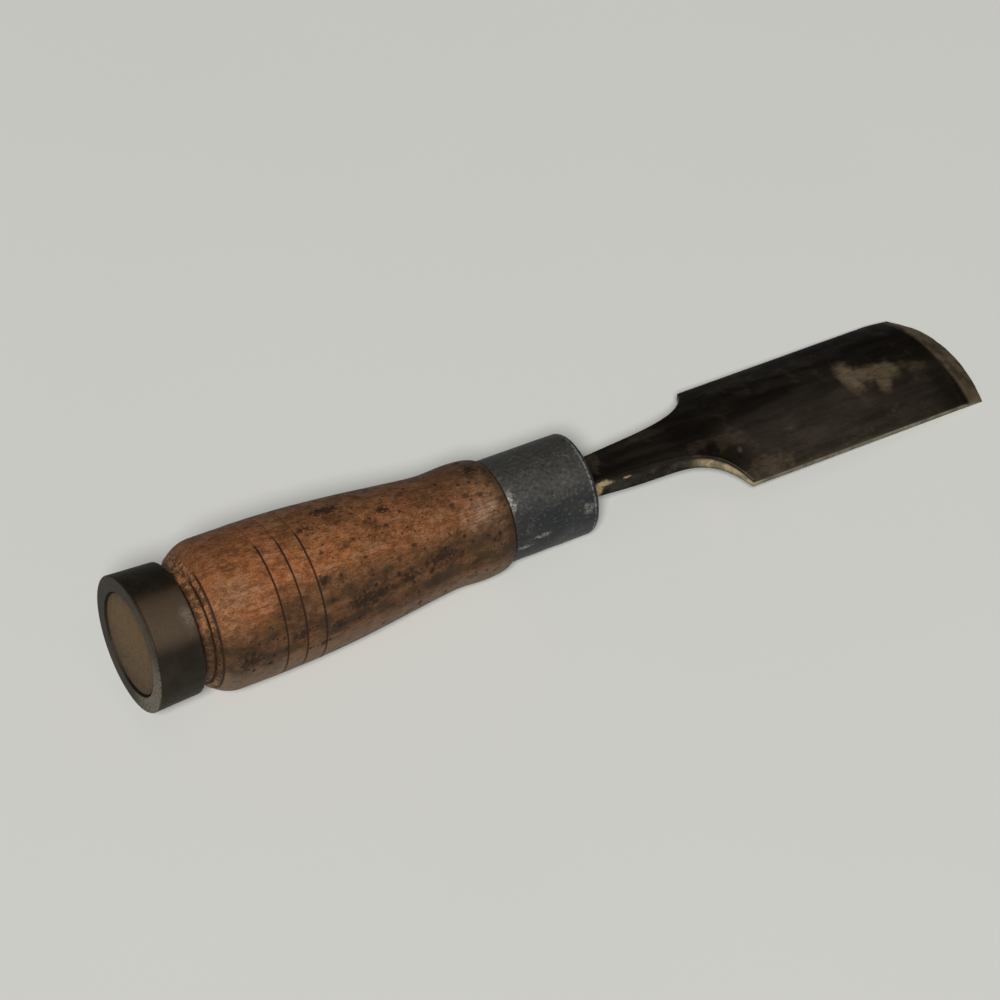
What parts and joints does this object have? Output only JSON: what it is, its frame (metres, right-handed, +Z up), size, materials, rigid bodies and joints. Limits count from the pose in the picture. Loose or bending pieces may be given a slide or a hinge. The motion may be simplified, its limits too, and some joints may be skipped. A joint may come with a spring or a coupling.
{
  "type": "wood chisel",
  "caption": "Wide shallow gouge with an outside bevel, swept shoulders and slim neck, tanged into a turned wooden handle with an iron ferrule and a steel striking hoop.",
  "frame": {"origin": "on the ground, below the middle of the tool's length, with the tool lying on the ferrule's front rim and the corners of its edge", "axes": "+X along the tool from the struck end to the cutting edge, +Z up, towards the convex side of the blade"},
  "size_m": [0.2366, 0.0384, 0.0401],
  "materials": {
    "blade_steel": "dark worn patina, bare at the bevel and along the sides",
    "handle_wood": "worn oiled hardwood, stained and flecked",
    "ferrule_iron": "matt blue-grey iron with rubbed spots",
    "hoop_steel": "satin brown steel"
  },
  "bodies": {
    "root": {"blade": "blade_steel", "handle": "handle_wood", "ferrule": "ferrule_iron", "striking_hoop": "hoop_steel"}
  },
  "joints": []
}
